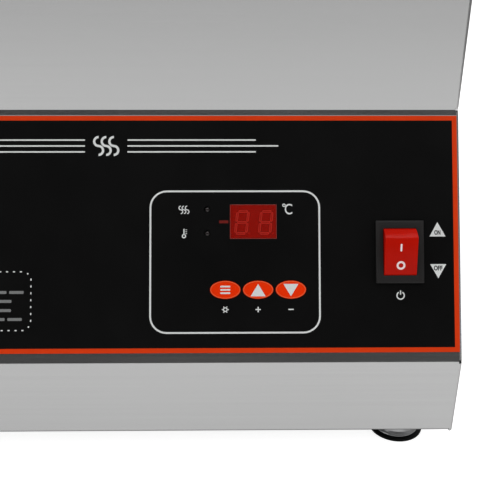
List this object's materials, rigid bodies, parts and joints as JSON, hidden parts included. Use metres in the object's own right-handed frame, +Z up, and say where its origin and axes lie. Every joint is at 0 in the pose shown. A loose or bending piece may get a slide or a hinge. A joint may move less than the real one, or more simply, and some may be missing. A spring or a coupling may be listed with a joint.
{
  "type": "electric chocolate melting pot",
  "caption": "Sheet-steel cabinet with lidded lift-out pans over a heated water bath, and a sloping front with a display, oval keys and a rocker switch.",
  "frame": {"origin": "on the table, under the middle of the machine's outer box, gland included", "axes": "+X to the right seen from the front, +Y towards the rear, +Z up; the front with the controls faces -Y"},
  "size_m": [0.37, 0.424, 0.2838],
  "materials": {
    "cabinet_steel": "brushed",
    "pan_steel": "satin",
    "plain_steel": "plain",
    "fastener_steel": "plain",
    "cup_steel": "polished",
    "element_steel": "dark",
    "brass": "plain",
    "silicone": "matt",
    "insulation": "matt",
    "black_plastic": "matt",
    "overlay_print": "satin",
    "display_red": "gloss",
    "display_grey": "matt",
    "lens_red": "gloss",
    "key_orange": "satin",
    "switch_grey": "satin",
    "rocker_red": "gloss",
    "circuit_board": "satin",
    "transformer_core": "plain",
    "relay_blue": "satin",
    "white_plastic": "satin",
    "lead_brown": "satin",
    "lead_red": "satin",
    "lead_white": "satin",
    "lead_grey": "satin",
    "lead_green": "satin",
    "foot_rubber": "matt"
  },
  "bodies": {
    "cabinet": {"front_panel": "cabinet_steel", "left_side_panel": "cabinet_steel", "right_side_panel": "cabinet_steel", "rear_panel": "cabinet_steel", "bottom_plate": "plain_steel", "top_deck": "cabinet_steel", "rear_screws": "fastener_steel", "bottom_screws": "fastener_steel", "water_tank": "plain_steel", "tank_insulation": "insulation", "heating_element": "element_steel", "element_nuts": "brass", "element_gaskets": "silicone", "element_clips": "plain_steel", "temperature_probe": "fastener_steel", "probe_nut": "brass", "overheat_cutout": "black_plastic", "cutout_bracket": "plain_steel", "control_overlay": "overlay_print", "display_window": "display_red", "display_module": "display_grey", "indicator_lights": "lens_red", "key_switches": "switch_grey", "control_board": "circuit_board", "board_spacers": "brass", "board_screws": "fastener_steel", "switch_housing": "switch_grey", "switch_terminals": "brass", "power_board": "circuit_board", "power_board_spacers": "brass", "transformer": "transformer_core", "relays": "relay_blue", "board_connectors": "white_plastic", "terminal_block": "white_plastic", "earth_stud": "brass", "mains_leads": "lead_brown", "heater_leads": "lead_red", "probe_lead": "lead_white", "display_lead": "lead_grey", "earth_lead": "lead_green", "cable_gland": "black_plastic", "gland_seal": "foot_rubber", "gland_nut": "black_plastic", "foot_rubbers": "foot_rubber", "foot_cups": "cup_steel", "foot_screws": "fastener_steel", "foot_nuts": "fastener_steel"},
    "left_pan": {"left_pan": "pan_steel"},
    "right_pan": {"right_pan": "pan_steel"},
    "left_lid": {"left_lid": "pan_steel", "left_lid_knob": "black_plastic", "left_knob_screw": "fastener_steel"},
    "right_lid": {"right_lid": "pan_steel", "right_lid_knob": "black_plastic", "right_knob_screw": "fastener_steel"},
    "rocker": {"switch_rocker": "rocker_red"},
    "set_key": {"set_key": "key_orange"},
    "up_key": {"up_key": "key_orange"},
    "down_key": {"down_key": "key_orange"}
  },
  "joints": [
    {"name": "left_pan_lift", "type": "slide", "parent": "cabinet", "child": "left_pan", "axis": [0, 0, 1], "range_m": [0, 0.13]},
    {"name": "right_pan_lift", "type": "slide", "parent": "cabinet", "child": "right_pan", "axis": [0, 0, 1], "range_m": [0, 0.13]},
    {"name": "left_lid_lift", "type": "slide", "parent": "left_pan", "child": "left_lid", "axis": [0, 0, 1], "range_m": [0, 0.12]},
    {"name": "right_lid_lift", "type": "slide", "parent": "right_pan", "child": "right_lid", "axis": [0, 0, 1], "range_m": [0, 0.12]},
    {"name": "rocker_tilt", "type": "hinge", "parent": "cabinet", "child": "rocker", "pos_m": [0.1525, -0.18232, 0.10841], "axis": [-1, 0, 0], "range_deg": [0, 30]},
    {"name": "set_key_press", "type": "slide", "parent": "cabinet", "child": "set_key", "axis": [0, 0.8906, -0.4548], "range_m": [0, 0.0006], "stiffness_N_per_m": 400},
    {"name": "up_key_press", "type": "slide", "parent": "cabinet", "child": "up_key", "axis": [0, 0.8906, -0.4548], "range_m": [0, 0.0006], "stiffness_N_per_m": 400},
    {"name": "down_key_press", "type": "slide", "parent": "cabinet", "child": "down_key", "axis": [0, 0.8906, -0.4548], "range_m": [0, 0.0006], "stiffness_N_per_m": 400}
  ]
}
